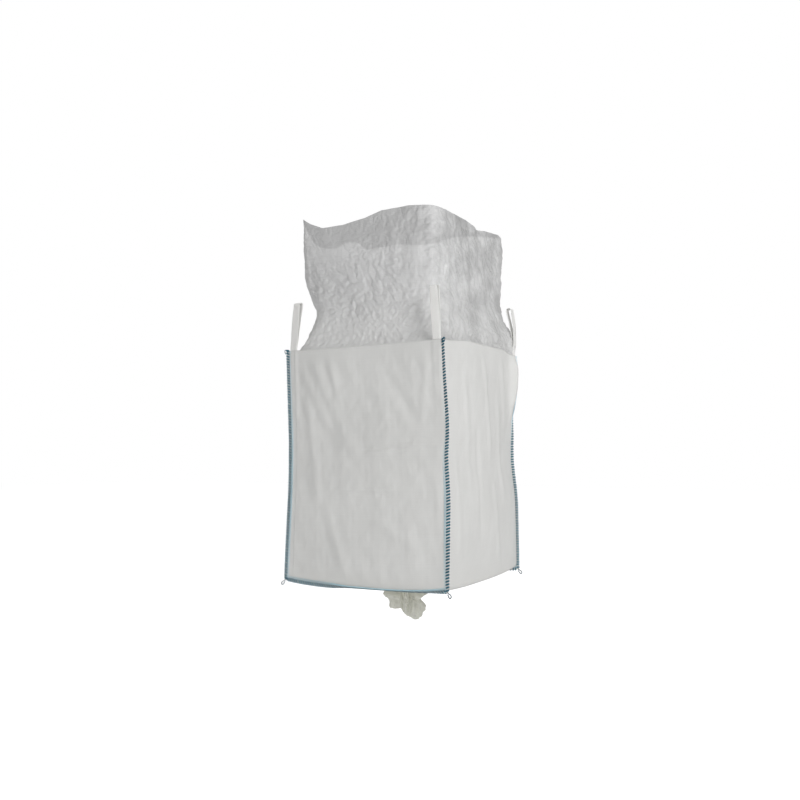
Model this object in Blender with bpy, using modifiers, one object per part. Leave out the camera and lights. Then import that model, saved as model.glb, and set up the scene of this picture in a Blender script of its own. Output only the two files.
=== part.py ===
"""A woven bulk bag with an open skirt top, four lifting loops and a tied discharge spout.

The bag hangs from its four loops. Its cloth is a U-shaped panel (two walls and the base in
one piece) closed by a front and a back side panel, with overlocked seams at the corners and
along the two lower edges. The world origin is the lifting point: level with the insides of
the four loop tops, over the middle of the bag. Heights below are counted from the underside
of the base. Soft pieces are plain closed solids of the right size and place.
"""

import math

import bmesh
import bpy
from mathutils import Matrix, Vector

# Body
BODY_WIDTH = 0.90
BODY_HEIGHT = 1.15
CLOTH = 0.003
GAP = 0.0003
HALF = BODY_WIDTH / 2

# Overlocked seams: a thin fin of seam allowance along each sewn edge
SEAM_DEPTH = 0.012
SEAM_THICKNESS = 0.0024
SEAM_STAND_OFF = 0.0005
SEAM_END_CLEARANCE = 0.002
SEAM_PLANE = HALF - CLOTH / 2

# Lifting loops: one webbing strap each, doubled over
STRAP_WIDTH = 0.042
STRAP_THICKNESS = 0.0025
STRAP_INSET = 0.010
LOOP_HINGE_HEIGHT = BODY_HEIGHT + 0.010
LOOP_RISE = 0.230
LOOP_BASE_HALF_GAP = 0.0016
LOOP_TOP_RADIUS = 0.0135
LOOP_ARC_STEPS = 7
LOOP_LEAN = 0.12
LEG_LENGTH = 0.350
LEG_TOP_CLEARANCE = 0.0070
LEG_THICKNESS = 2 * STRAP_THICKNESS
LEG_CENTRE = HALF - CLOTH - GAP - LEG_THICKNESS / 2
LIFT_HEIGHT = LOOP_HINGE_HEIGHT + LOOP_RISE

# Skirt: a rounded square tube of thin cloth that stands on the body's top edge
SKIRT_THICKNESS = 0.0015
SKIRT_HALF = 0.4290
SKIRT_CORNER_RADIUS = 0.13
SKIRT_BOTTOM = BODY_HEIGHT + 0.006
SKIRT_TOP = BODY_HEIGHT + 0.640
CORNER_STEPS = 6

# Stitched strip that joins the skirt to the body
SKIRT_SEAM_HALF = 0.4400
SKIRT_SEAM_RADIUS = 0.030
SKIRT_SEAM_THICKNESS = 0.002
SKIRT_SEAM_WIDTH = 0.020

# Discharge spout: sewn round a hole in the base, gathered, tied and bunched below
SPOUT_RADIUS = 0.170
SPOUT_SEAM_WIDTH = 0.018
SPOUT_SEAM_THICKNESS = 0.003
SPOUT_CLOTH = 0.003
NECK_RADIUS = 0.028
NECK_DEPTH = 0.030
TIE_THICKNESS = 0.006
TIE_HEIGHT = 0.013
BUNDLE_PIVOT_DEPTH = NECK_DEPTH + TIE_HEIGHT + NECK_RADIUS + 0.001
BUNDLE_SHOULDER = 0.016
BUNDLE_RADIUS = 0.090
BUNDLE_WIDEST_DEPTH = 0.150
BUNDLE_DEPTH = 0.235
BUNDLE_STEPS = 7
TURN_STEPS = 48

# Thread tails left by the overlock seams at the four lower corners
TAIL_DIAMETER = 0.0050
TAIL_START_OUT = 0.004
TAIL_START_DOWN = 0.007
TAIL_OUT = (0.0, 0.009, 0.018, 0.026, 0.031, 0.030, 0.024, 0.016, 0.008)
TAIL_SIDE = (0.0, 0.0035, 0.0065, 0.0065, 0.0015, -0.0045, -0.0065, -0.0055, -0.0030)
TAIL_STEPS = 4

CORNERS = {
    "front_left": (-1, -1),
    "front_right": (1, -1),
    "back_left": (-1, 1),
    "back_right": (1, 1),
}


def clear_scene():
    for old in list(bpy.data.objects):
        bpy.data.objects.remove(old, do_unlink=True)


def make_collection(name):
    collection = bpy.data.collections.new(name)
    bpy.context.scene.collection.children.link(collection)
    return collection


def make_material(name, colour, roughness):
    material = bpy.data.materials.new(name)
    material.use_nodes = True
    shader = material.node_tree.nodes["Principled BSDF"]
    shader.inputs["Base Color"].default_value = (*colour, 1.0)
    shader.inputs["Roughness"].default_value = roughness
    shader.inputs["Metallic"].default_value = 0.0
    return material


def add_object(name, data, material, location=(0, 0, 0)):
    """Link an object under the bag's frame, whose zero height is the base's underside."""
    obj = bpy.data.objects.new(name, data)
    PARTS.objects.link(obj)
    obj.parent = FRAME
    obj.location = location
    data.materials.append(material)
    return obj


def mesh_from(name, bm):
    bmesh.ops.recalc_face_normals(bm, faces=bm.faces)
    mesh = bpy.data.meshes.new(name)
    bm.to_mesh(mesh)
    bm.free()
    return mesh


def box_mesh(name, size):
    bm = bmesh.new()
    bmesh.ops.create_cube(bm, size=1.0, matrix=Matrix.Diagonal((*size, 1.0)))
    return mesh_from(name, bm)


def strip_mesh(name, rows, closed=False):
    """An open surface through rows of points, each row as long as the others."""
    bm = bmesh.new()
    grid = [[bm.verts.new(point) for point in row] for row in rows]
    count = len(rows[0])
    last = count if closed else count - 1
    for low, high in zip(grid, grid[1:]):
        for i in range(last):
            bm.faces.new((low[i], low[(i + 1) % count], high[(i + 1) % count], high[i]))
    return mesh_from(name, bm)


def add_thickness(obj, thickness):
    shell = obj.modifiers.new("Thickness", "SOLIDIFY")
    shell.thickness = thickness
    shell.offset = 0.0
    shell.use_even_offset = True


def rounded_square(half, radius, steps):
    """Points of a square with rounded corners, counter-clockwise from the lower right."""
    points = []
    inner = half - radius
    for corner in range(4):
        start = -math.pi / 2 + corner * math.pi / 2
        centre_x = inner if corner in (0, 1) else -inner
        centre_y = inner if corner in (1, 2) else -inner
        for step in range(steps + 1):
            angle = start + step * math.pi / 2 / steps
            points.append((centre_x + radius * math.cos(angle), centre_y + radius * math.sin(angle)))
    return points


def make_u_panel(material):
    """Left wall, base and right wall from one length of cloth, with the spout hole cut out."""
    middle = HALF - CLOTH / 2
    profile = [(-middle, BODY_HEIGHT), (-middle, CLOTH / 2), (middle, CLOTH / 2), (middle, BODY_HEIGHT)]
    rows = [[(x, y, z) for x, z in profile] for y in (-HALF, HALF)]
    panel = add_object("u_panel", strip_mesh("u_panel", rows), material)
    add_thickness(panel, CLOTH)
    bpy.ops.mesh.primitive_cylinder_add(vertices=TURN_STEPS, radius=SPOUT_RADIUS, depth=10 * CLOTH)
    cutter = bpy.context.object
    cutter.name = "spout_hole_cutter"
    cutter.parent = FRAME
    for collection in list(cutter.users_collection):
        collection.objects.unlink(cutter)
    CUTTERS.objects.link(cutter)
    cutter.hide_render = True
    cutter.display_type = "WIRE"
    hole = panel.modifiers.new("Spout hole", "BOOLEAN")
    hole.operation = "DIFFERENCE"
    hole.solver = "EXACT"
    hole.object = cutter


def make_side_panels(material):
    """Front and back panels, which stand on the base between the walls of the U-shaped panel."""
    bottom = CLOTH + GAP
    size = (BODY_WIDTH - 2 * (CLOTH + GAP), CLOTH, BODY_HEIGHT - bottom)
    for name, side in (("side_panel_front", -1), ("side_panel_back", 1)):
        place = (0, side * (HALF - CLOTH / 2), bottom + size[2] / 2)
        add_object(name, box_mesh(name, size), material, place)


def make_corner_seams(material):
    """Upright fins that continue the front and back panels past the four corners."""
    height = BODY_HEIGHT - SEAM_END_CLEARANCE
    reach = HALF + SEAM_STAND_OFF + SEAM_DEPTH / 2
    for corner, (side_x, side_y) in CORNERS.items():
        name = "corner_seam_" + corner
        size = (SEAM_DEPTH, SEAM_THICKNESS, height)
        place = (side_x * reach, side_y * SEAM_PLANE, SEAM_END_CLEARANCE + height / 2)
        add_object(name, box_mesh(name, size), material, place)


def make_bottom_seams(material):
    """Fins that continue the front and back panels below the base."""
    reach = SEAM_STAND_OFF + SEAM_DEPTH / 2
    for name, side in (("bottom_seam_front", -1), ("bottom_seam_back", 1)):
        size = (BODY_WIDTH - 2 * SEAM_END_CLEARANCE, SEAM_THICKNESS, SEAM_DEPTH)
        add_object(name, box_mesh(name, size), material, (0, side * SEAM_PLANE, -reach))


def smooth_route(points):
    """Catmull-Rom points through a list of points, with TAIL_STEPS to each span."""
    ends = [points[0] * 2 - points[1], *points, points[-1] * 2 - points[-2]]
    route = []
    for a, b, c, d in zip(ends, ends[1:], ends[2:], ends[3:]):
        for step in range(TAIL_STEPS):
            t = step / TAIL_STEPS
            route.append(0.5 * ((2 * b) + (c - a) * t + (2 * a - 5 * b + 4 * c - d) * t ** 2
                                + (3 * b - a - 3 * c + d) * t ** 3))
    route.append(points[-1])
    return route


def make_thread_tails(material):
    """The loose thread chain at each lower corner, turned back on itself in a small loop."""
    for corner, (side_x, side_y) in CORNERS.items():
        start = Vector((side_x * (HALF + TAIL_START_OUT), side_y * SEAM_PLANE, -TAIL_START_DOWN))
        out = Vector((side_x * 0.66, side_y * 0.22, -0.72)).normalized()
        side = Vector((side_x * 0.72, 0.0, 0.66)).normalized()
        points = [start + out * a + side * b for a, b in zip(TAIL_OUT, TAIL_SIDE)]
        name = "thread_tail_" + corner
        curve = bpy.data.curves.new(name, "CURVE")
        curve.dimensions = "3D"
        curve.bevel_depth = TAIL_DIAMETER / 2
        curve.bevel_resolution = 2
        curve.use_fill_caps = True
        spline = curve.splines.new("POLY")
        route = smooth_route(points)
        spline.points.add(len(route) - 1)
        for point, place in zip(spline.points, route):
            point.co = (*place, 1.0)
        add_object(name, curve, material)


def loop_axes(corner):
    """Where a loop's strap is sewn, and its directions: into the panel's middle, and outward.

    The front loops lie in the plane of the front panel. The back loops are sewn to the walls
    of the U-shaped panel and lie in the planes of those walls.
    """
    side_x, side_y = CORNERS[corner]
    inset = HALF - STRAP_INSET - STRAP_WIDTH / 2
    if side_y < 0:
        return Vector((side_x * inset, -LEG_CENTRE, 0)), Vector((-side_x, 0, 0)), Vector((0, -1, 0))
    return Vector((side_x * LEG_CENTRE, inset, 0)), Vector((0, -1, 0)), Vector((side_x, 0, 0))


def loop_path():
    """Mid-line of a loop seen edge-on, as (across, up) from its hinge: legs and a round top."""
    half_step = math.pi / LOOP_ARC_STEPS / 2
    arc_centre = LOOP_RISE + STRAP_THICKNESS / 2 - LOOP_TOP_RADIUS * math.cos(half_step)
    path = [(LOOP_BASE_HALF_GAP, GAP)]
    for step in range(LOOP_ARC_STEPS + 1):
        angle = step * math.pi / LOOP_ARC_STEPS
        path.append((LOOP_TOP_RADIUS * math.cos(angle), arc_centre + LOOP_TOP_RADIUS * math.sin(angle)))
    path.append((-LOOP_BASE_HALF_GAP, GAP))
    return path


def make_loops(material):
    """Each loop's free strap, hinged at the body's top edge, and its two legs sewn inside."""
    for corner in CORNERS:
        base, along, outward = loop_axes(corner)
        rows = []
        for across, up in loop_path():
            middle = outward * across + Vector((0, 0, up)) + along * (LOOP_LEAN * up)
            rows.append([middle - along * STRAP_WIDTH / 2, middle + along * STRAP_WIDTH / 2])
        name = "lifting_loop_" + corner
        hinge = base + Vector((0, 0, LOOP_HINGE_HEIGHT))
        add_thickness(add_object(name, strip_mesh(name, rows), material, hinge), STRAP_THICKNESS)
        name = "loop_legs_" + corner
        height = LOOP_HINGE_HEIGHT - LEG_TOP_CLEARANCE - (BODY_HEIGHT - LEG_LENGTH)
        size = [STRAP_WIDTH * abs(a) + LEG_THICKNESS * abs(n) for a, n in zip(along, outward)]
        size[2] = height
        place = base + Vector((0, 0, BODY_HEIGHT - LEG_LENGTH + height / 2))
        add_object(name, box_mesh(name, size), material, place)


def make_skirt(cloth, thread):
    """The open skirt, and the stitched strip along its lower edge."""
    outline = rounded_square(SKIRT_HALF, SKIRT_CORNER_RADIUS, CORNER_STEPS)
    rows = [[(x, y, height) for x, y in outline] for height in (0, SKIRT_TOP - SKIRT_BOTTOM)]
    skirt = add_object("top_skirt", strip_mesh("top_skirt", rows, closed=True), cloth, (0, 0, SKIRT_BOTTOM))
    add_thickness(skirt, SKIRT_THICKNESS)
    outline = rounded_square(SKIRT_SEAM_HALF, SKIRT_SEAM_RADIUS, 3)
    rows = [[(x, y, height) for x, y in outline] for height in (BODY_HEIGHT - SKIRT_SEAM_WIDTH, BODY_HEIGHT)]
    seam = add_object("skirt_seam", strip_mesh("skirt_seam", rows, closed=True), thread)
    add_thickness(seam, SKIRT_SEAM_THICKNESS)


def turned_object(name, profile, material, height):
    """A closed profile, given as (radius, height) points, turned about the vertical axis."""
    bm = bmesh.new()
    verts = [bm.verts.new((radius, 0, z - height)) for radius, z in profile]
    for start, end in zip(verts, verts[1:]):
        bm.edges.new((start, end))
    if profile[0][0] > 0:
        bm.edges.new((verts[-1], verts[0]))
    mesh = bpy.data.meshes.new(name)
    bm.to_mesh(mesh)
    bm.free()
    obj = add_object(name, mesh, material, (0, 0, height))
    turn = obj.modifiers.new("Turn", "SCREW")
    turn.axis = "Z"
    turn.steps = TURN_STEPS
    turn.render_steps = TURN_STEPS
    turn.use_merge_vertices = True
    turn.merge_threshold = 0.0001
    return obj


def arc_points(centre, radii, start, end, steps):
    """Points (radius, height) on a quarter or so of an ellipse, without the first one."""
    points = []
    for step in range(1, steps + 1):
        angle = start + (end - start) * step / steps
        points.append((centre[0] + radii[0] * math.cos(angle), centre[1] + radii[1] * math.sin(angle)))
    return points


def make_spout(cloth, thread, cord):
    """Seam ring, gathered cone, tie and the bunched end of the discharge spout."""
    ring_top = -GAP
    ring_bottom = ring_top - SPOUT_SEAM_THICKNESS
    ring_outer = SPOUT_RADIUS + SPOUT_SEAM_WIDTH
    ring = [(SPOUT_RADIUS, ring_top), (ring_outer, ring_top), (ring_outer, ring_bottom),
            (SPOUT_RADIUS, ring_bottom)]
    turned_object("spout_seam", ring, thread, 0)

    cone_top = ring_bottom - GAP
    neck_bottom = -NECK_DEPTH - TIE_HEIGHT
    cone = [
        (0, SPOUT_CLOTH - NECK_DEPTH),
        (NECK_RADIUS - SPOUT_CLOTH, SPOUT_CLOTH - NECK_DEPTH),
        (SPOUT_RADIUS - SPOUT_CLOTH, cone_top),
        (SPOUT_RADIUS + 2 * SPOUT_CLOTH, cone_top),
        (NECK_RADIUS, -NECK_DEPTH),
        (NECK_RADIUS, neck_bottom),
        (0, neck_bottom),
    ]
    turned_object("spout_gather", cone, cloth, 0)

    tie_inner = NECK_RADIUS + GAP
    tie_outer = tie_inner + TIE_THICKNESS
    tie = [(tie_inner, -NECK_DEPTH - TIE_HEIGHT / 4), (tie_outer, -NECK_DEPTH - TIE_HEIGHT / 3),
           (tie_outer, -NECK_DEPTH - 2 * TIE_HEIGHT / 3), (tie_inner, neck_bottom)]
    turned_object("spout_tie", tie, cord, -NECK_DEPTH)

    top = (0, -BUNDLE_PIVOT_DEPTH + NECK_RADIUS)
    widest = -BUNDLE_WIDEST_DEPTH
    shoulder = -BUNDLE_PIVOT_DEPTH - BUNDLE_SHOULDER
    round_top = arc_points((0, -BUNDLE_PIVOT_DEPTH), (NECK_RADIUS, NECK_RADIUS), math.pi / 2, 0, 4)
    upper = arc_points((NECK_RADIUS, widest), (BUNDLE_RADIUS - NECK_RADIUS, shoulder - widest),
                       math.pi / 2, 0, BUNDLE_STEPS)
    lower = arc_points((0, widest), (BUNDLE_RADIUS, BUNDLE_DEPTH + widest), 0, -math.pi / 2, BUNDLE_STEPS)
    lower[-1] = (0, -BUNDLE_DEPTH)
    profile = [top, *round_top, (NECK_RADIUS, shoulder), *upper, *lower]
    turned_object("spout_bundle", profile, cloth, -BUNDLE_PIVOT_DEPTH)


clear_scene()
PARTS = make_collection("bulk_bag")
CUTTERS = make_collection("cutters")
FRAME = bpy.data.objects.new("bag_frame", None)
PARTS.objects.link(FRAME)
FRAME.location = (0, 0, -LIFT_HEIGHT)
bpy.context.view_layer.update()

WOVEN = make_material("woven_polypropylene", (0.66, 0.66, 0.64), 0.55)
THIN = make_material("thin_coated_cloth", (0.55, 0.55, 0.55), 0.45)
WEBBING = make_material("webbing", (0.72, 0.72, 0.70), 0.6)
BLUE_THREAD = make_material("blue_thread", (0.05, 0.14, 0.20), 0.6)
PALE_THREAD = make_material("pale_thread", (0.70, 0.72, 0.72), 0.7)

make_u_panel(WOVEN)
make_side_panels(WOVEN)
make_corner_seams(BLUE_THREAD)
make_bottom_seams(BLUE_THREAD)
make_thread_tails(PALE_THREAD)
make_loops(WEBBING)
make_skirt(THIN, PALE_THREAD)
make_spout(THIN, PALE_THREAD, WEBBING)
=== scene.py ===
"""Looks of a woven bulk bag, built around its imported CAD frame.

Pieces are first laid out in plain bag coordinates (x, y, up), where up is the height above
the base's underside and the walls are flat. settle() then hangs them: it shifts the corners,
lets the base sag and gives the walls their soft folds, the same way for every piece.
"""

import math

import bpy
import numpy as np
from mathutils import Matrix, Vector


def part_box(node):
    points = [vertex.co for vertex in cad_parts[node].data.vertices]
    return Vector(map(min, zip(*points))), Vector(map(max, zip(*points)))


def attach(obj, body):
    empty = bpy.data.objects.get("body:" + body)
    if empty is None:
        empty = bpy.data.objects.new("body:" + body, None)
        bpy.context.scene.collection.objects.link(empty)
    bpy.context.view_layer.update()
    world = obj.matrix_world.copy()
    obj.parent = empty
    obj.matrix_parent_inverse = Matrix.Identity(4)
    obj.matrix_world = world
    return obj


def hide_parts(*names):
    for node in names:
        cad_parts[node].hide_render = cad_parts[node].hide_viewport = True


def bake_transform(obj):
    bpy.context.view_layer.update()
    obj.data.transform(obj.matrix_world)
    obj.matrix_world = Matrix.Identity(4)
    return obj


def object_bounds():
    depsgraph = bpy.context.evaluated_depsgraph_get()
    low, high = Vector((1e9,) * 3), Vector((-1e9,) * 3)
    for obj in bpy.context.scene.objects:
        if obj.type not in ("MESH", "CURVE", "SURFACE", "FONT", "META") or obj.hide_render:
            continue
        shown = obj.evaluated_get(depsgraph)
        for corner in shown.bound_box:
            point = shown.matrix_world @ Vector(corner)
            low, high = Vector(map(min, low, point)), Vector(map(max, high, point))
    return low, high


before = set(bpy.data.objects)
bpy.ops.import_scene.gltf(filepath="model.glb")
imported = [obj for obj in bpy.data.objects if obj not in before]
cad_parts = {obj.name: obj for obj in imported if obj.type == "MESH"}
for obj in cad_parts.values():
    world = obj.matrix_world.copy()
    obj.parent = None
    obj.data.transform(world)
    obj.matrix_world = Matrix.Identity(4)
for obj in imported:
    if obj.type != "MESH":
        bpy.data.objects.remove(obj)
cad_low, cad_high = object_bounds()

# Sizes read from the frame
panel_low, panel_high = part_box("u_panel")
BASE_Z = panel_low.z
HALF = panel_high.x
BODY_HEIGHT = panel_high.z - panel_low.z
skirt_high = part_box("top_skirt")[1]
SKIRT_TOP = skirt_high.z - BASE_Z
SKIRT_HALF = skirt_high.x
leg_low, leg_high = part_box("loop_legs_front_left")
LEG_BOTTOM = leg_low.z - BASE_Z
STRAP_WIDTH = leg_high.x - leg_low.x
STRAP_THICKNESS = (leg_high.y - leg_low.y) / 2
LEG_CENTRE = -(leg_low.y + leg_high.y) / 2
loop_low, loop_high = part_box("lifting_loop_front_left")
LOOP_BASE = loop_low.z - BASE_Z
LOOP_TOP = loop_high.z - BASE_Z - STRAP_THICKNESS / 2
seam_low, seam_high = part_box("corner_seam_front_right")
SEAM_DEPTH = seam_high.x - HALF
SEAM_THICKNESS = seam_high.y - seam_low.y
tie_low, tie_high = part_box("spout_tie")
NECK_TOP = tie_high.z - BASE_Z
NECK_BOTTOM = tie_low.z - BASE_Z
SPOUT_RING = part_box("spout_seam")[1].x
BUNDLE_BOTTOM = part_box("spout_bundle")[0].z - BASE_Z

# Sizes of the soft pieces: cloth thickness, the plane the walls hang in, and the spacing of
# the body cloth's grid
CLOTH = 0.0012
WALL_PLANE = HALF - 0.0015
GRID = 0.0075
SPOUT_RADIUS = 0.170
FOLD_RADIUS = 0.028
STITCH_PITCH = 0.014
# How far the walls belly out, and the base and the top edge sag
BELLY = 0.010
BASE_SAG = 0.019
TOP_SAG = 0.004
RIGHT_EDGE_LIFT = 0.024
# The back right corner's fold over its seam: how far out, from the corner, and its half width
BULGE = 0.036
BULGE_INSET = 0.040
BULGE_WIDTH = 0.030
# The front panel's hem shows as a step beside its seam, and a sewn strap as a step in the wall
HEM_FOLD = 0.038
HEM_STEP = 0.0016
STRAP_STEP = 0.0022
STRAP_INSET = 0.010
# Each loop's lean towards its panel's middle, how much higher it stands, and how far in it tips
LOOP_HANG = {
    "front_left": (0.12, 0.000, 0.000),
    "front_right": (0.05, 0.014, 0.000),
    "back_right": (0.13, 0.012, 0.008),
    "back_left": (0.10, 0.004, 0.000),
}

CORNERS = {
    "front_left": (-1, -1),
    "front_right": (1, -1),
    "back_left": (-1, 1),
    "back_right": (1, 1),
}

# How far each corner hangs from the plain box: (share of the height, x, y, up)
CORNER_SHIFT = {
    "front_left": (
        (0.00, 0.006, 0.002, 0.000), (0.17, 0.014, 0.002, 0.000), (0.42, 0.026, 0.004, 0.000),
        (0.60, 0.027, 0.004, 0.000), (0.86, 0.016, 0.002, -0.002), (1.00, 0.010, 0.000, -0.004),
    ),
    "front_right": (
        (0.00, 0.000, 0.000, 0.000), (0.38, 0.006, 0.002, 0.000), (0.52, -0.006, 0.003, 0.000),
        (0.64, 0.005, 0.002, 0.000), (0.86, -0.012, 0.001, 0.002), (1.00, -0.019, 0.000, 0.004),
    ),
    "back_right": (
        (0.00, -0.014, 0.000, 0.010), (0.33, -0.020, 0.000, 0.006), (0.52, -0.048, 0.004, 0.002),
        (0.66, -0.040, 0.004, 0.003), (0.80, -0.026, 0.004, 0.005), (0.90, -0.020, 0.002, 0.007),
        (1.00, -0.018, 0.000, 0.009),
    ),
    "back_left": (
        (0.00, 0.006, -0.004, 0.004), (0.40, 0.024, -0.014, 0.000), (0.65, 0.030, -0.016, 0.000),
        (0.86, 0.014, -0.008, 0.002), (1.00, 0.004, 0.000, 0.004),
    ),
}

# Creases of each wall: (x or y and up at both ends, height, half width), heights positive outward
CREASES = {
    "front": (
        ((0.02, 0.625), (0.40, 0.680), 0.0032, 0.010),
        ((-0.26, 0.440), (0.18, 0.452), 0.0024, 0.010),
        ((-0.37, 1.060), (-0.20, 0.740), 0.0040, 0.030),
        ((-0.30, 1.100), (-0.08, 0.640), 0.0052, 0.034),
        ((-0.20, 1.120), (-0.14, 0.860), 0.0045, 0.022),
        ((-0.34, 0.900), (-0.27, 0.420), 0.0045, 0.026),
        ((-0.22, 0.380), (-0.10, 0.060), 0.0050, 0.030),
        ((0.10, 1.060), (0.30, 0.760), -0.0040, 0.034),
        ((0.36, 1.080), (0.33, 0.800), 0.0030, 0.020),
        ((0.05, 0.330), (0.30, 0.180), 0.0035, 0.030),
    ),
    "right": (
        ((0.02, 1.080), (0.10, 0.620), 0.0055, 0.022),
        ((-0.22, 1.000), (-0.18, 0.500), 0.0050, 0.028),
        ((-0.08, 0.760), (-0.05, 0.250), -0.0045, 0.024),
        ((0.20, 0.900), (0.26, 0.420), 0.0045, 0.026),
        ((0.26, 1.100), (0.31, 0.780), 0.0050, 0.026),
        ((0.12, 0.480), (0.20, 0.080), 0.0045, 0.024),
        ((-0.34, 0.620), (-0.30, 0.120), 0.0035, 0.026),
    ),
    "back": (
        ((-0.30, 1.080), (-0.10, 0.700), 0.0060, 0.034),
        ((0.28, 1.060), (0.12, 0.620), 0.0055, 0.030),
        ((0.02, 0.560), (-0.20, 0.220), 0.0045, 0.032),
        ((-0.34, 0.560), (0.30, 0.600), 0.0018, 0.012),
        ((0.30, 0.500), (0.24, 0.080), 0.0050, 0.028),
    ),
    "left": (
        ((0.05, 1.080), (-0.05, 0.640), 0.0060, 0.026),
        ((0.24, 0.980), (0.20, 0.460), 0.0055, 0.028),
        ((-0.24, 0.860), (-0.30, 0.360), 0.0050, 0.028),
        ((0.00, 0.520), (0.06, 0.100), 0.0045, 0.026),
        ((-0.36, 1.100), (-0.33, 0.800), 0.0060, 0.026),
    ),
}
# Each wall's axis, side and number
WALLS = {"front": (1, -1, 0), "right": (0, 1, 1), "back": (1, 1, 2), "left": (0, -1, 3)}
# Waviness of the walls: (height, squeeze of the height, seed, waves, shortest, longest)
WALL_RIPPLES = (
    (0.0022, 0.45, 20, 7, 0.16, 0.42),
    (0.0008, 0.70, 40, 9, 0.05, 0.11),
    (0.0003, 1.00, 60, 9, 0.024, 0.05),
)


# ---------------------------------------------------------------- hanging the cloth

def soft_line(t, points, blur=0.07):
    """A smooth curve close to the given (position, value) points, read at every t."""
    knots = [p[0] for p in points]
    values = [p[1] for p in points]
    offsets = np.linspace(-blur, blur, 9)
    weights = 1.25 - np.abs(offsets) / blur
    total = sum(w * np.interp(t + o, knots, values) for o, w in zip(offsets, weights))
    return total / weights.sum()


def ramp(value, low, high):
    """0 below low and 1 above high, with a smooth turn between them."""
    t = np.clip((value - low) / (high - low), 0.0, 1.0)
    return t * t * (3 - 2 * t)


def ripples(a, b, seed, count, shortest, longest):
    """A smooth, even roughness of about unit height from a few seeded plane waves."""
    rng = np.random.default_rng(seed)
    total = np.zeros_like(a)
    for _ in range(count):
        length = rng.uniform(shortest, longest)
        angle = rng.uniform(0, math.pi)
        phase = rng.uniform(0, 2 * math.pi)
        total += np.sin(2 * math.pi / length * (a * math.cos(angle) + b * math.sin(angle)) + phase)
    return total / math.sqrt(count)


def crumple(along, up, length, size, stretch, seed):
    """Dents with sharp edges, and the edges alone, on a grid that closes on itself after length."""
    rng = np.random.default_rng(seed)
    nearest = np.full(along.shape, 1.0)
    second = np.full(along.shape, 2.0)
    height = up.max() + 2 * size
    for _ in range(int(length * height / size ** 2)):
        middle, level = rng.uniform(0, length), rng.uniform(-size, height - size)
        lean = np.interp(middle / length, *zip(*CRUMPLE_LEAN))
        angle = rng.normal(lean, CRUMPLE_SPREAD)
        bend = rng.uniform(-0.45, 0.45)
        reach = 1.6 * size * stretch
        across = (along[0] - middle + length / 2) % length - length / 2
        columns = np.nonzero(np.abs(across) < reach)[0]
        rows = np.nonzero(np.abs(up[:, 0] - level) < reach)[0]
        if not len(rows) or not len(columns):
            continue
        a, b = across[columns][None], up[rows, 0][:, None] - level
        u = (a * math.cos(angle) + b * math.sin(angle)) / size
        v = (b * math.cos(angle) - a * math.sin(angle)) / size + bend * u ** 2
        place = np.ix_(rows, columns)
        far = (u / stretch) ** 2 + v ** 2
        second[place] = np.minimum(second[place], np.maximum(nearest[place], far))
        nearest[place] = np.minimum(nearest[place], far)
    edges = np.exp(-((np.sqrt(second) - np.sqrt(nearest)) / CREASE_WIDTH) ** 2)
    return nearest - nearest.mean(), edges


def wall_relief(wall, across, up):
    """How far a wall's cloth stands out from its flat plane."""
    inner = HALF - np.abs(across)
    crown = np.clip(1 - (across / HALF) ** 2, 0, 1)
    relief = BELLY * crown * np.sin(math.pi * np.clip(up / BODY_HEIGHT, 0, 1))
    number = WALLS[wall][2]
    for height, squeeze, seed, count, shortest, longest in WALL_RIPPLES:
        relief = relief + height * ripples(across, up * squeeze, seed + number, count, shortest, longest)
    for start, end, height, width in CREASES[wall]:
        start = np.array(start)
        run = np.array(end) - start
        length = np.hypot(*run)
        run = run / length
        along = (across - start[0]) * run[0] + (up - start[1]) * run[1]
        off = (up - start[1]) * run[0] - (across - start[0]) * run[1]
        ends = ramp(along, -0.06, 0.08) * (1 - ramp(along, length - 0.08, length + 0.06))
        relief = relief + height * ends * np.exp(-(off / width) ** 2)
    fade = ramp(inner, 0.0, 0.06) * (1 - 0.7 * ramp(up, BODY_HEIGHT - 0.10, BODY_HEIGHT))
    relief = relief * fade * ramp(up, -0.01, 0.07)
    if wall == "front":
        side = across + HALF
        relief = relief - HEM_STEP * (1 - ramp(side, HEM_FOLD - 0.002, HEM_FOLD + 0.002))
    if wall == "right":
        bulge = np.exp(-((across - HALF + BULGE_INSET) / BULGE_WIDTH) ** 2)
        relief = relief + BULGE * bulge * ramp(up, 0.76, 1.02) * (1 - 0.55 * ramp(up, 1.07, BODY_HEIGHT))
    strap = HALF - STRAP_INSET - STRAP_WIDTH / 2
    for sign in (-1, 1):
        if wall == "front" or (wall in ("left", "right") and sign > 0):
            over = ramp(STRAP_WIDTH / 2 + 0.006 - np.abs(across - sign * strap), 0, 0.008)
            relief = relief + STRAP_STEP * over * ramp(up, LEG_BOTTOM - 0.02, LEG_BOTTOM + 0.02)
    return relief


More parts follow.
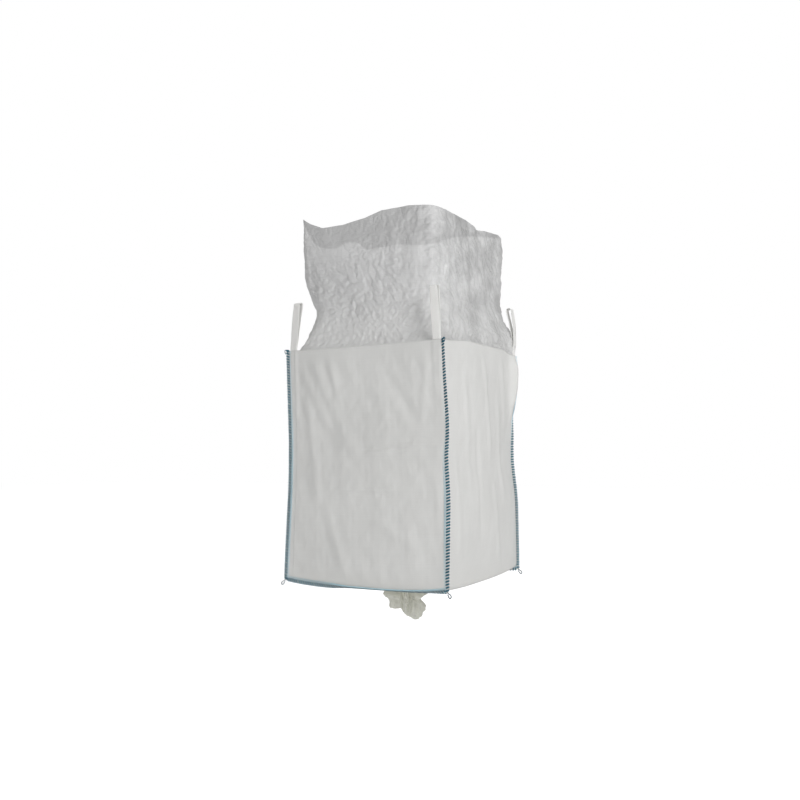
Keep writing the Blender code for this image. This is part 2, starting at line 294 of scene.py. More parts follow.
def settle(points):
    """Hangs plain bag points (x, y, up) and returns them in the row frame."""
    points = np.asarray(points, float)
    x, y, up = points[..., 0], points[..., 1], points[..., 2]
    share = np.clip(up / BODY_HEIGHT, 0, 1)
    right = np.clip((x / HALF + 1) / 2, 0, 1)
    back = np.clip((y / HALF + 1) / 2, 0, 1)
    moved = points.copy()
    # Each point drifts with its nearest corners
    for name, (side_x, side_y) in CORNERS.items():
        weight = (right if side_x > 0 else 1 - right) * (back if side_y > 0 else 1 - back)
        for axis in range(3):
            curve = [(row[0], row[1 + axis]) for row in CORNER_SHIFT[name]]
            moved[..., axis] += weight * soft_line(share, curve)
    # The walls take their relief, which fades with depth behind their plane
    for wall, (axis, sign, _) in WALLS.items():
        depth = HALF - sign * points[..., axis]
        near = 1 - ramp(depth, 0.012, 0.06)
        moved[..., axis] += sign * near * wall_relief(wall, points[..., 1 - axis], up)
    # The base and the top edge sag between the corners, and the right top edge lifts a little
    corner = np.clip(np.abs(x * y) / HALF ** 2, 0, 1) ** 3
    moved[..., 2] -= BASE_SAG * (1 - corner) * (1 - ramp(up, 0.0, 0.55))
    moved[..., 2] -= TOP_SAG * (1 - corner) * ramp(up, 0.85, 1.0)
    lifted = ramp(x, 0.40, 0.44) * ramp(y, -0.43, -0.12) * (1 - ramp(y, 0.29, 0.43))
    moved[..., 2] += RIGHT_EDGE_LIFT * lifted * ramp(up, 0.75, BODY_HEIGHT)
    moved[..., 2] += BASE_Z
    return moved


# ---------------------------------------------------------------- making meshes

def link(name, data):
    obj = bpy.data.objects.new(name, data)
    bpy.context.scene.collection.objects.link(obj)
    return obj


def make_object(name, points, faces, material, uvs=None):
    mesh = bpy.data.meshes.new(name)
    mesh.from_pydata(np.reshape(points, (-1, 3)).tolist(), [], [list(face) for face in faces])
    mesh.materials.append(material)
    if uvs is not None:
        corners = np.zeros(len(mesh.loops), np.int32)
        mesh.loops.foreach_get("vertex_index", corners)
        layer = mesh.uv_layers.new(name="cloth")
        layer.data.foreach_set("uv", np.reshape(uvs, (-1, 2))[corners].astype(np.float32).ravel())
    mesh.shade_smooth()
    return link(name, mesh)


def grid_faces(rows, columns, around=False, first=0):
    """Quads of a grid of points; around joins the last column to the first."""
    count = columns if around else columns - 1
    faces = []
    for r in range(rows - 1):
        for c in range(count):
            a, b = r * columns + c, r * columns + (c + 1) % columns
            faces.append((first + a, first + b, first + b + columns, first + a + columns))
    return faces


def ring_faces(rows, columns):
    """Quads of a grid that closes on itself both ways."""
    last = (rows - 1) * columns
    closing = [(last + c, last + (c + 1) % columns, (c + 1) % columns, c) for c in range(columns)]
    return grid_faces(rows, columns, around=True) + closing


def add_solidify(obj, thickness):
    shell = obj.modifiers.new("Thickness", "SOLIDIFY")
    shell.thickness = thickness
    shell.offset = 0.0


def unit(vectors):
    return vectors / np.maximum(np.linalg.norm(vectors, axis=-1, keepdims=True), 1e-12)


def running_length(points):
    """How far along a line each of its points is."""
    return np.concatenate([[0], np.cumsum(np.linalg.norm(np.diff(points, axis=0), axis=1))])


def curve_between(a, b, c, d, t):
    """The Catmull-Rom curve from b (t is 0) to c (t is 1), with a and d on either side."""
    return 0.5 * (2 * b + (c - a) * t + (2 * a - 5 * b + 4 * c - d) * t ** 2
                  + (3 * b - a - 3 * c + d) * t ** 3)


def ribbon(name, middles, sides, width, thickness, material, narrow, hang):
    """A flat strap with rounded edges along plain middles, its width along sides, then hung."""
    middles = np.asarray(middles, float)
    tangents = unit(np.gradient(middles, axis=0))
    sides = unit(sides - (sides * tangents).sum(1, keepdims=True) * tangents)
    normals = np.cross(sides, tangents)
    half, edge = width / 2, thickness / 2
    turn = np.linspace(-math.pi / 2, math.pi / 2, 5)
    right = [(half - edge + edge * math.cos(a), edge * math.sin(a)) for a in turn]
    flat = np.linspace(half - edge, -half + edge, 8)[1:-1]
    left = [(-x, -y) for x, y in right]
    section = right + [(x, edge) for x in flat] + left + [(-x, -edge) for x in flat]
    section = np.array(section)
    points = (middles[:, None]
              + sides[:, None] * (section[None, :, :1] * narrow[:, None, None])
              + normals[:, None] * section[None, :, 1:])
    lengths = running_length(middles)
    uvs = np.stack([np.broadcast_to(section[None, :, 0], points.shape[:2]),
                    np.broadcast_to(lengths[:, None], points.shape[:2])], axis=-1)
    faces = tube_faces(1, len(middles), len(section))
    return make_object(name, hang(points), faces, material, uvs)


def tubes(paths, section):
    """Many equal-length thread runs as one mesh.

    paths is (threads, points, 3) in a flat space, and section gives (across, thick) offsets
    along the first axis and square to the run, so that threads lie flat on their seam.
    """
    paths = np.asarray(paths, float)
    tangents = unit(np.gradient(paths, axis=1))
    first = np.zeros_like(paths)
    first[..., 0] = 1.0
    side = unit(first - (first * tangents).sum(-1, keepdims=True) * tangents)
    lift = np.cross(tangents, side)
    section = np.asarray(section, float)
    points = (paths[:, :, None] + side[:, :, None] * section[None, None, :, :1]
              + lift[:, :, None] * section[None, None, :, 1:])
    return points


def oval(width, thickness, steps=6):
    angles = np.arange(steps) * 2 * math.pi / steps
    return np.stack([width / 2 * np.cos(angles), thickness / 2 * np.sin(angles)], axis=1)


def tube_faces(threads, rows, columns):
    faces = []
    for thread in range(threads):
        first = thread * rows * columns
        faces += grid_faces(rows, columns, around=True, first=first)
        faces.append(tuple(range(first + columns - 1, first - 1, -1)))
        last = first + (rows - 1) * columns
        faces.append(tuple(range(last, last + columns)))
    return faces


# ---------------------------------------------------------------- materials

# How far above the body's top the skirt's painted light reaches
PAINTED_LIGHT_REACH = 0.34


def grey(value):
    return (value, value, value, 1)


class Nodes:
    """A short way to write a node tree."""

    def __init__(self, tree):
        self.tree = tree

    def add(self, kind, **values):
        node = self.tree.nodes.new(kind)
        for key, value in values.items():
            setattr(node, key, value)
        return node

    def put(self, value, socket):
        if isinstance(value, (int, float, tuple)):
            socket.default_value = value
        else:
            self.tree.links.new(value, socket)

    def math(self, operation, a, b=0.0, c=None):
        node = self.add("ShaderNodeMath", operation=operation)
        self.put(a, node.inputs[0])
        self.put(b, node.inputs[1])
        if c is not None:
            self.put(c, node.inputs[2])
        return node.outputs[0]

    def mix_colour(self, share, a, b):
        node = self.add("ShaderNodeMix", data_type="RGBA")
        self.put(share, node.inputs[0])
        self.put(a, node.inputs[6])
        self.put(b, node.inputs[7])
        return node.outputs[2]

    def mix_value(self, share, a, b):
        node = self.add("ShaderNodeMix", data_type="FLOAT")
        self.put(share, node.inputs[0])
        self.put(a, node.inputs[2])
        self.put(b, node.inputs[3])
        return node.outputs[0]

    def mix_shader(self, share, a, b):
        node = self.add("ShaderNodeMixShader")
        for value, socket in zip((share, a, b), node.inputs):
            self.put(value, socket)
        return node.outputs[0]

    def noise(self, scale, detail=2.0, vector=None, dimensions="3D", roughness=0.5):
        node = self.add("ShaderNodeTexNoise", noise_dimensions=dimensions)
        node.inputs["Scale"].default_value = scale
        node.inputs["Detail"].default_value = detail
        node.inputs["Roughness"].default_value = roughness
        if vector is None:
            vector = self.place()
        self.put(vector, node.inputs["W" if dimensions == "1D" else "Vector"])
        return node.outputs["Fac"]

    def span(self, value, low, high, start=0.0, end=1.0, kind="LINEAR"):
        """Takes low to high of a value to start to end, and holds it there beyond them."""
        node = self.add("ShaderNodeMapRange", interpolation_type=kind)
        self.put(value, node.inputs["Value"])
        names = ("From Min", "From Max", "To Min", "To Max")
        for name, number in zip(names, (low, high, start, end)):
            node.inputs[name].default_value = number
        return node.outputs[0]

    def split(self, vector):
        node = self.add("ShaderNodeSeparateXYZ")
        self.put(vector, node.inputs[0])
        return node.outputs

    def place(self):
        return self.add("ShaderNodeTexCoord").outputs["Object"]

    def uv(self):
        parts = self.split(self.add("ShaderNodeUVMap", uv_map="cloth").outputs[0])
        return parts[0], parts[1]


class Material(Nodes):
    """A material's node tree, with its surface shader."""

    def __init__(self, name, roughness):
        self.material = bpy.data.materials.new(name)
        self.material.use_nodes = True
        super().__init__(self.material.node_tree)
        self.shader = self.tree.nodes["Principled BSDF"]
        self.shader.inputs["Roughness"].default_value = roughness
        self.output = self.tree.nodes["Material Output"]

    def bump(self, height, strength, distance):
        node = self.add("ShaderNodeBump")
        node.inputs["Strength"].default_value = strength
        node.inputs["Distance"].default_value = distance
        self.put(height, node.inputs["Height"])
        self.put(node.outputs[0], self.shader.inputs["Normal"])
        return node.outputs[0]


def weave(nodes, tape):
    """Height and tape tone of a plain weave of flat tapes, from coordinates in metres."""
    u, v = nodes.uv()
    along, across = nodes.math("DIVIDE", u, tape), nodes.math("DIVIDE", v, tape)
    warp = nodes.math("SINE", nodes.math("MULTIPLY", nodes.math("FRACT", along), math.pi))
    weft = nodes.math("SINE", nodes.math("MULTIPLY", nodes.math("FRACT", across), math.pi))
    count = nodes.math("ADD", nodes.math("FLOOR", along), nodes.math("FLOOR", across))
    parity = nodes.math("FLOORED_MODULO", count, 2.0)
    over = nodes.mix_value(parity, warp, weft)
    flat = nodes.math("POWER", over, 0.35)
    warp_tone = nodes.noise(0.73, 0.0, nodes.math("FLOOR", along), "1D")
    weft_tone = nodes.noise(0.61, 0.0, nodes.math("FLOOR", across), "1D")
    return flat, nodes.mix_value(parity, warp_tone, weft_tone)


def woven_material(name, light, dark, tape=0.0028):
    """Body cloth: woven plastic tape with a satin face, slightly soiled low down."""
    nodes = Material(name, 0.52)
    height, tone = weave(nodes, tape)
    shade = nodes.mix_value(0.70, tone, nodes.noise(3.2, 3.0))
    colour = nodes.mix_colour(nodes.span(shade, 0.25, 0.75), dark, light)
    level = nodes.split(nodes.place())[2]
    low = nodes.span(level, BASE_Z + 0.10, BASE_Z - 0.02, kind="SMOOTHSTEP")
    dirt = nodes.math("MULTIPLY", low, nodes.noise(9.0, 4.0))
    soiled = nodes.mix_colour(nodes.math("MULTIPLY", dirt, 0.22), colour, (0.50, 0.48, 0.43, 1))
    nodes.put(soiled, nodes.shader.inputs["Base Color"])
    rough = nodes.mix_value(tone, 0.42, 0.60)
    nodes.put(rough, nodes.shader.inputs["Roughness"])
    nodes.shader.inputs["Sheen Weight"].default_value = 0.08
    nodes.bump(height, 0.5, 0.0004)
    return nodes.material


def thin_material(name, light, dark, through=0.28, clear=0.26, painted_light_low=0.0):
    """Thin coated cloth that lets light and a little of what is behind it through.

    Above zero, the last argument whitens it towards the body's top edge: painted light that lifts the shade
    falling inside the skirt there, weaker on the right side.
    """
    nodes = Material(name, 0.36)
    height, tone = weave(nodes, 0.0022)
    cloud = nodes.noise(16.0, 5.0, roughness=0.62)
    place = nodes.split(nodes.place())
    # Painted sheen: large light and dark patches in the colour, strongest on the skirt's right side, stand
    # in for its uneven gloss
    patchy = nodes.span(place[0], 0.26, 0.40, 0.5, 4.0, kind="SMOOTHSTEP")
    painted_sheen_patch = nodes.math("SUBTRACT", nodes.noise(6.5, 4.0, roughness=0.6), 0.5)
    painted_sheen_patch = nodes.math("MULTIPLY", painted_sheen_patch, patchy)
    shade = nodes.math("ADD", nodes.mix_value(0.55, tone, cloud), painted_sheen_patch)
    colour = nodes.mix_colour(nodes.span(shade, 0.07, 0.93), dark, light)
    top = BASE_Z + BODY_HEIGHT
    # Painted light: the colour whitens towards the body's top edge, less on the right side, to lift the
    # shade inside the skirt
    low = nodes.span(place[2], top + PAINTED_LIGHT_REACH, top, kind="SMOOTHSTEP")
    fewer = nodes.math("MULTIPLY_ADD", patchy, -0.13, 1.06)
    painted_light_share = nodes.math("MULTIPLY", nodes.math("MULTIPLY", low, painted_light_low), fewer)
    colour = nodes.mix_colour(painted_light_share, colour, (0.98, 0.98, 0.97, 1))
    nodes.put(colour, nodes.shader.inputs["Base Color"])
    creases = nodes.add("ShaderNodeTexVoronoi", feature="DISTANCE_TO_EDGE")
    creases.inputs["Scale"].default_value = 21.0
    warp = nodes.add("ShaderNodeVectorMath", operation="ADD")
    nodes.put(nodes.place(), warp.inputs[0])
    swirl = nodes.add("ShaderNodeTexNoise")
    swirl.inputs["Scale"].default_value = 7.0
    push = nodes.add("ShaderNodeVectorMath", operation="SCALE")
    nodes.put(swirl.outputs["Color"], push.inputs[0])
    push.inputs["Scale"].default_value = 0.12
    nodes.put(push.outputs[0], warp.inputs[1])
    nodes.put(warp.outputs[0], creases.inputs["Vector"])
    ridge = nodes.math("MINIMUM", creases.outputs["Distance"], 0.16)
    fine = nodes.math("MULTIPLY", height, 0.05)
    total = nodes.math("ADD", nodes.math("ADD", nodes.math("MULTIPLY", ridge, 4.0), cloud), fine)
    normal = nodes.bump(total, 0.55, 0.0030)
    light_through = nodes.add("ShaderNodeBsdfTranslucent")
    nodes.put(colour, light_through.inputs["Color"])
    nodes.put(normal, light_through.inputs["Normal"])
    cloth = nodes.mix_shader(through, nodes.shader.outputs[0], light_through.outputs[0])
    seen_through = nodes.add("ShaderNodeBsdfTransparent").outputs[0]
    nodes.put(nodes.mix_shader(clear, cloth, seen_through), nodes.output.inputs["Surface"])
    return nodes.material


def webbing_material():
    """Woven webbing: ribs along the strap and a fine cross weave."""
    nodes = Material("webbing", 0.62)
    u, v = nodes.uv()
    rib = nodes.math("ABSOLUTE", nodes.math("SINE", nodes.math("MULTIPLY", u, math.pi / 0.0021)))
    skew = nodes.math("ADD", nodes.math("DIVIDE", v, 0.0016), nodes.math("DIVIDE", u, 0.0042))
    cross = nodes.math("ABSOLUTE", nodes.math("SINE", nodes.math("MULTIPLY", skew, math.pi)))
    height = nodes.math("MULTIPLY", nodes.math("POWER", rib, 0.5), nodes.math("ADD", cross, 1.2))
    # Painted shade: the colour darkens in the grooves between the ribs and lightens on their tops
    painted_groove_shade = nodes.math("MULTIPLY", height, 0.45)
    colour = nodes.mix_colour(painted_groove_shade, (0.78, 0.78, 0.76, 1), (0.96, 0.96, 0.94, 1))
    soil = nodes.math("MULTIPLY", nodes.noise(14.0, 4.0), 0.25)
    nodes.put(nodes.mix_colour(soil, colour, (0.62, 0.60, 0.56, 1)), nodes.shader.inputs["Base Color"])
    nodes.shader.inputs["Sheen Weight"].default_value = 0.15
    nodes.bump(height, 0.7, 0.0006)
    return nodes.material


def thread_material(name, dark, light, twist=0.0011):
    """Twisted multifilament thread, whose tone drifts along the seam."""
    nodes = Material(name, 0.55)
    u, v = nodes.uv()
    ply = nodes.math("SINE", nodes.math("MULTIPLY", nodes.math("ADD", v, u), 2 * math.pi / twist))
    drift = nodes.noise(5.0, 3.0)
    # Painted shade: the colour darkens between the twisted plies, where the bump sinks, on top of the tone
    # drifting along the seam
    share = nodes.math("ADD", nodes.math("MULTIPLY", ply, 0.22), drift)
    nodes.put(nodes.mix_colour(share, dark, light), nodes.shader.inputs["Base Color"])
    nodes.shader.inputs["Sheen Weight"].default_value = 0.12
    nodes.bump(ply, 0.4, 0.0003)
    return nodes.material


WOVEN = woven_material("woven_cloth", (0.72, 0.72, 0.705, 1), (0.64, 0.64, 0.625, 1))
THIN = thin_material("thin_cloth", (0.86, 0.86, 0.86, 1), (0.60, 0.60, 0.60, 1), painted_light_low=0.75)
SPOUT_CLOTH = thin_material("spout_cloth", (0.99, 0.99, 0.92, 1), (0.82, 0.82, 0.75, 1), 0.25, 0.02)
WEBBING = webbing_material()
BLUE = thread_material("blue_thread", (0.002, 0.044, 0.082, 1), (0.006, 0.150, 0.215, 1))
PALE_BLUE = thread_material("pale_blue_thread", (0.50, 0.74, 0.84, 1), (0.68, 0.88, 0.95, 1))
PALE = thread_material("pale_thread", (0.60, 0.62, 0.62, 1), (0.80, 0.80, 0.79, 1))
TAIL = thread_material("tail_thread", (0.006, 0.025, 0.050, 1), (0.10, 0.14, 0.17, 1), 0.004)


# ---------------------------------------------------------------- camera, then cords

# Fitted to the photo
CAMERA_PLACE = (2.265, -4.162, BASE_Z + 0.603)
CAMERA_YAW = math.radians(28.97)
CAMERA_PITCH = math.radians(3.67)
CAMERA_LENS = 40.5
CAMERA_SENSOR = 36.0


def make_camera():
    data = bpy.data.cameras.new("camera")
    data.sensor_width = CAMERA_SENSOR
    data.lens = CAMERA_LENS
    camera = link("camera", data)
    camera.location = CAMERA_PLACE
    camera.rotation_euler = (math.pi / 2 + CAMERA_PITCH, 0, CAMERA_YAW)
    bpy.context.scene.camera = camera


make_camera()

# The thread tails' route, as in the CAD: out from the corner, and sideways from that line
TAIL_DIAMETER = 0.0050
TAIL_START_OUT = 0.004
TAIL_START_DOWN = 0.007
TAIL_OUT = (0.0, 0.009, 0.018, 0.026, 0.031, 0.030, 0.024, 0.016, 0.008)
TAIL_SIDE = (0.0, 0.0035, 0.0065, 0.0065, 0.0015, -0.0045, -0.0065, -0.0055, -0.0030)
TAIL_STEPS = 6


def smooth_route(points, steps):
    """A smooth curve through a list of points, with a number of steps to each span."""
    points = [np.asarray(p, float) for p in points]
    ends = [points[0] * 2 - points[1], *points, points[-1] * 2 - points[-2]]
    route = []
    for span in zip(ends, ends[1:], ends[2:], ends[3:]):
        route += [curve_between(*span, step / steps) for step in range(steps)]
    route.append(points[-1])
    return np.array(route)


def round_tube(name, route, radius, material, steps=10, waves=0.0, wave_length=0.004):
    """A round tube along a route, with a slight regular swell like a chain of thread."""
    tangents = unit(np.gradient(route, axis=0))
    side = np.cross(tangents[0], (0.3, 0.5, 0.81))
    lengths = running_length(route)
    rows = []
    for middle, tangent, length in zip(route, tangents, lengths):
        side = side - tangent * (side @ tangent)
        side = side / np.linalg.norm(side)
        other = np.cross(tangent, side)
        angles = np.arange(steps) * 2 * math.pi / steps
        swell = radius * (1 + waves * math.sin(2 * math.pi * length / wave_length))
        rows.append(middle + swell * (np.cos(angles)[:, None] * side + np.sin(angles)[:, None] * other))
    points = np.array(rows)
    uvs = np.zeros(points.shape[:2] + (2,))
    uvs[..., 0] = np.linspace(0, 2 * math.pi * radius, steps)[None]
    uvs[..., 1] = lengths[:, None]
    obj = make_object(name, points, tube_faces(1, len(route), steps), material, uvs)
    return obj, lengths[-1]


def make_thread_tails():
    for corner, (side_x, side_y) in CORNERS.items():
        start = np.array((side_x * (HALF + TAIL_START_OUT), side_y * WALL_PLANE, -TAIL_START_DOWN))
        start[2] += BASE_Z
        out = unit(np.array((side_x * 0.66, side_y * 0.22, -0.72)))
        side = unit(np.array((side_x * 0.72, 0.0, 0.66)))
        corner_point = np.array((side_x * HALF, side_y * WALL_PLANE, 0.0))
        start = start + settle(corner_point) - corner_point - (0, 0, BASE_Z)
        points = [start + out * a + side * b for a, b in zip(TAIL_OUT, TAIL_SIDE)]
        route = smooth_route(points, TAIL_STEPS)
        tail, length = round_tube("thread_chain_" + corner, route, TAIL_DIAMETER / 2, TAIL, 10, 0.10)
        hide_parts("thread_tail_" + corner)
        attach(tail, "bag")


make_thread_tails()


# ---------------------------------------------------------------- body cloth

def steps_between(low, high, spacing=GRID):
    return np.linspace(low, high, max(2, int(round((high - low) / spacing)) + 1))


def make_side_panel(name, node, side):
    """A front or back panel; its cloth coordinates are metres across and up."""
    across = steps_between(-HALF, HALF)
    near_fold = -HALF + HEM_FOLD + np.array((-0.004, -0.002, -0.001, 0.0, 0.001, 0.002, 0.004))
    across = np.sort(np.concatenate([across[np.abs(across + HALF - HEM_FOLD) > 0.006], near_fold]))
    up = steps_between(0.0, BODY_HEIGHT)
    x, z = np.meshgrid(across, up)
    plain = np.stack([x, np.full_like(x, side * WALL_PLANE), z], axis=-1)
    faces = grid_faces(len(up), len(across))
    if side > 0:
        faces = [face[::-1] for face in faces]
    panel = make_object(name, settle(plain), faces, WOVEN, np.stack([x, z], axis=-1))
    add_solidify(panel, CLOTH)
    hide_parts(node)
    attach(panel, "bag")


def u_profile():
    """Across, up and running length of the U-shaped panel, from the left top to the right top."""
    plane = WALL_PLANE
    wall = steps_between(FOLD_RADIUS, BODY_HEIGHT)
    bend = np.linspace(0, math.pi / 2, 9)[1:-1]
    base = steps_between(-plane + FOLD_RADIUS, plane - FOLD_RADIUS)
    left = [(-plane, z) for z in wall[::-1]]
    left += [(-plane + FOLD_RADIUS - FOLD_RADIUS * math.cos(a), FOLD_RADIUS - FOLD_RADIUS * math.sin(a))
             for a in bend]
    middle = [(x, CLOTH / 2) for x in base]
    right = [(-x, z) for x, z in left[::-1]]
    return np.array(left + middle + right)


def make_u_panel():
    profile = u_profile()
    length = running_length(profile)
    depth = steps_between(-HALF, HALF)
    run, y = np.meshgrid(length, depth)
    x = np.broadcast_to(profile[:, 0], run.shape)
    up = np.broadcast_to(profile[:, 1], run.shape)
    plain = np.stack([x, y, up], axis=-1)
    # The points next to the spout's hole move onto its circle, and those inside it are left out
    inside = np.abs(up) < 0.01
    radius = np.hypot(x, y)
    snap = inside & (radius < SPOUT_RADIUS + 0.6 * GRID) & (radius > SPOUT_RADIUS - GRID)
    scale = np.where(snap, SPOUT_RADIUS / np.maximum(radius, 1e-6), 1.0)
    plain = np.stack([x * scale, y * scale, up], axis=-1)
    hole = (inside & (radius <= SPOUT_RADIUS - GRID)).ravel()
    faces = [f for f in grid_faces(len(depth), len(length)) if not any(hole[i] for i in f)]
    used = sorted({i for f in faces for i in f})
    renumber = {old: new for new, old in enumerate(used)}
    faces = [tuple(renumber[i] for i in f) for f in faces]
    points = settle(plain).reshape(-1, 3)[used]
    uvs = np.stack([y, run], axis=-1).reshape(-1, 2)[used]
    panel = make_object("wall_and_base_cloth", points, faces, WOVEN, uvs)
    add_solidify(panel, CLOTH)
    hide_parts("u_panel")
    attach(panel, "bag")
    hole = math.pi * SPOUT_RADIUS ** 2


make_side_panel("front_panel_cloth", "side_panel_front", -1)
make_side_panel("back_panel_cloth", "side_panel_back", 1)
make_u_panel()


# ---------------------------------------------------------------- overlocked seams

# Turn of each corner seam's edge away from its panel's plane: (share of height, degrees)
CORNER_TURN = {
    "front_left": ((0.0, 6), (0.4, -8), (0.7, 4), (1.0, 10)),
    "front_right": ((0.0, 10), (0.3, -6), (0.6, 12), (1.0, 24)),
    "back_right": ((0.0, 12), (0.45, 18), (0.62, 50), (0.76, 128), (1.0, 140)),
    "back_left": ((0.0, -10), (0.4, 14), (0.8, 36), (1.0, 30)),
}
# The same for the bottom seams: (share of half the width, degrees)
BOTTOM_TURN = ((-1.0, 0), (-0.45, 12), (-0.2, 62), (0.3, 68), (0.6, 62), (0.85, 50), (1.0, 16))
# The loose curl of thread at the top of a corner seam: (run, out, lift)
TOP_KNOT = (
    (-0.012, 0.004, 0.0030), (-0.004, 0.010, 0.0042), (0.004, 0.016, 0.0036), (0.001, 0.022, 0.0020),
    (-0.010, 0.021, 0.0010), (-0.018, 0.016, 0.0024),
)
# One stitch, up one face and down the other: (run in half slants, share of the depth, lift)
STITCH_SHAPE = (
    (-0.14, -0.30, 1.35), (0.04, 0.00, 1.25), (0.14, 0.25, 1.25), (0.32, 0.60, 1.25),
    (0.50, 0.98, 1.15), (0.58, 1.20, 0.55), (0.60, 1.24, -0.1), (0.60, 1.18, -0.75),
    (0.58, 0.94, -1.2), (0.52, 0.50, -1.25), (0.46, 0.10, -1.25), (0.44, 0.00, -1.0),
)
STITCH_SLANT = 0.30
# The strands of a bar lie side by side, and the looper rows run along the seam's root
STRAND_SHIFTS = (-0.0025, 0.0, 0.0025)
STRAND_SIZE = (0.0036, 0.0016)
KNOT_SIZE = (0.0042, 0.0036)
FRONT_LOOPERS = (-0.0052, -0.0092, -0.0132)
BACK_LOOPER = -0.0012
LOOPER_SIZE = (0.0042, 0.0014)
CORNER_SEAM_START = -0.008
CORNER_SEAM_SEED = 70
BOTTOM_SEAM_SEED = 80


def corner_seam_frame(corner):
    """Maps (run, out, lift) of a corner seam to plain bag points."""
    side_x, side_y = CORNERS[corner]

    def place(points):
        run, out, lift = points[..., 0], points[..., 1], points[..., 2]
        turn = np.radians(soft_line(run / BODY_HEIGHT, CORNER_TURN[corner]))
        x = side_x * (HALF - 0.001 + out * np.cos(turn) - lift * np.sin(turn))
        y = side_y * (WALL_PLANE + out * np.sin(turn) + lift * np.cos(turn))
        return np.stack([x, y, run], axis=-1)

    return place


def bottom_seam_frame(side):
    """Maps (run, out, lift) of a bottom seam to plain bag points."""

    def place(points):
        run, out, lift = points[..., 0], points[..., 1], points[..., 2]
        turn = np.radians(soft_line(run / HALF, BOTTOM_TURN, 0.12))
        y = side * (WALL_PLANE - out * np.sin(turn) + lift * np.cos(turn))
        return np.stack([run, y, 0.001 - out * np.cos(turn) - lift * np.sin(turn)], axis=-1)

    return place


def stitch_paths(start, end, depth, lift, rng):
    """Overlock stitches in (run, out, lift): a slanted bar on each face, joined round the edge."""
    count = int(round((end - start) / STITCH_PITCH))
    starts = start + (np.arange(count) + 0.5) * STITCH_PITCH + rng.normal(0, 0.0006, count)
    slant = STITCH_SLANT * STITCH_PITCH
    shape = np.array(STITCH_SHAPE)
    run = starts[:, None] + shape[None, :, 0] * slant * 2
    out = np.broadcast_to(shape[None, :, 1] * depth, run.shape) + rng.normal(0, 0.0003, (count, 1))
    return np.stack([run, out, np.broadcast_to(shape[None, :, 2] * lift, run.shape)], axis=-1)


def make_seam(name, node, place, start, end, seed):
    """The cloth allowance, the dark overlock bars and the pale looper rows of one seam."""
    rng = np.random.default_rng(seed)
    rows = steps_between(start, end, 0.008)
    leaf = SEAM_THICKNESS / 4
    upper = [(-0.002, leaf), (SEAM_DEPTH * 0.5, leaf * 1.1), (SEAM_DEPTH * 0.92, leaf)]
    lower = [(out, -lift) for out, lift in upper[::-1]]
    section = np.array(upper + [(SEAM_DEPTH * 0.97, 0.0)] + lower)
    flat = np.zeros((len(rows), len(section), 3))
    flat[..., 0] = rows[:, None]
    flat[..., 1] = section[None, :, 0]
    flat[..., 2] = section[None, :, 1]
    uvs = flat[..., :2].copy()
    faces = tube_faces(1, len(rows), len(section))
    fin = make_object("seam_allowance_" + name, settle(place(flat)), faces, WOVEN, uvs)
    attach(fin, "bag")

    bars = stitch_paths(start, end, SEAM_DEPTH, SEAM_THICKNESS * 0.42, rng)
    strands = []
    for shift in STRAND_SHIFTS:
        strand = bars.copy()
        strand[..., 0] += shift
        strand[..., 2] *= 1.0 if shift else 1.12
        strands.append(strand)
    strands = np.concatenate(strands)
    groups = [(strands, oval(*STRAND_SIZE))]
    if end > HALF + SEAM_DEPTH:
        knot = np.array(TOP_KNOT) + (end, 0, 0)
        groups.append((smooth_route(knot, 4)[None], oval(*KNOT_SIZE)))
    add_thread("overlock_thread_" + name, place, groups, BLUE, node)
    run = steps_between(start, end, 0.0035)
    beat = SEAM_THICKNESS * 0.45 * (0.9 + 0.35 * np.sin(2 * math.pi * run / STITCH_PITCH))
    loopers = [(out, beat * 0.9) for out in FRONT_LOOPERS] + [(BACK_LOOPER, -beat * 0.9)]
    runs = np.array([np.stack([run, np.full_like(run, out), lift], axis=-1) for out, lift in loopers])
    add_thread("looper_thread_" + name, place, [(runs, oval(*LOOPER_SIZE))], PALE_BLUE)


def add_thread(name, place, groups, material, node=None):
    """One mesh of several groups of equal thread runs, given in a seam's own (run, out, lift)."""
    points, uvs, faces = [], [], []
    count = 0
    for paths, section in groups:
        made = tubes(paths, section)
        threads, length, around, _ = made.shape
        coordinates = np.zeros(made.shape[:3] + (2,))
        coordinates[..., 0] = np.linspace(0, 0.004, around)
        coordinates[..., 1] = (paths[..., 0] + paths[..., 1] + paths[..., 2])[..., None]
        faces += [tuple(i + count for i in face) for face in tube_faces(threads, length, around)]
        points.append(made.reshape(-1, 3))
        uvs.append(coordinates.reshape(-1, 2))
        count += threads * length * around
    thread = make_object(name, settle(place(np.concatenate(points))), faces, material, np.concatenate(uvs))
    if node:
        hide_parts(node)
    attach(thread, "bag")


def make_seams():
    for number, corner in enumerate(CORNERS):
        node = "corner_seam_" + corner
        place = corner_seam_frame(corner)
        make_seam(corner, node, place, CORNER_SEAM_START, BODY_HEIGHT, CORNER_SEAM_SEED + number)
    for number, (name, side) in enumerate((("bottom_front", -1), ("bottom_back", 1))):
        node = "bottom_seam_" + name.split("_")[1]
        make_seam(name, node, bottom_seam_frame(side), -HALF, HALF, BOTTOM_SEAM_SEED + number)


make_seams()


# ---------------------------------------------------------------- lifting straps

STRAP_SEED = 90
# Radius of a loop's turn at its top
LOOP_TURN = 0.0135


def loop_axes(corner):
    """Where a strap is sewn, and its directions: into the panel's middle, and outward."""
    side_x, side_y = CORNERS[corner]
    inset = HALF - STRAP_INSET - STRAP_WIDTH / 2
    if side_y < 0:
        axes = (side_x * inset, -LEG_CENTRE, 0), (-side_x, 0, 0), (0, -1, 0)
    else:
        axes = (side_x * LEG_CENTRE, inset, 0), (0, -1, 0), (side_x, 0, 0)
    return [np.array(axis) for axis in axes]


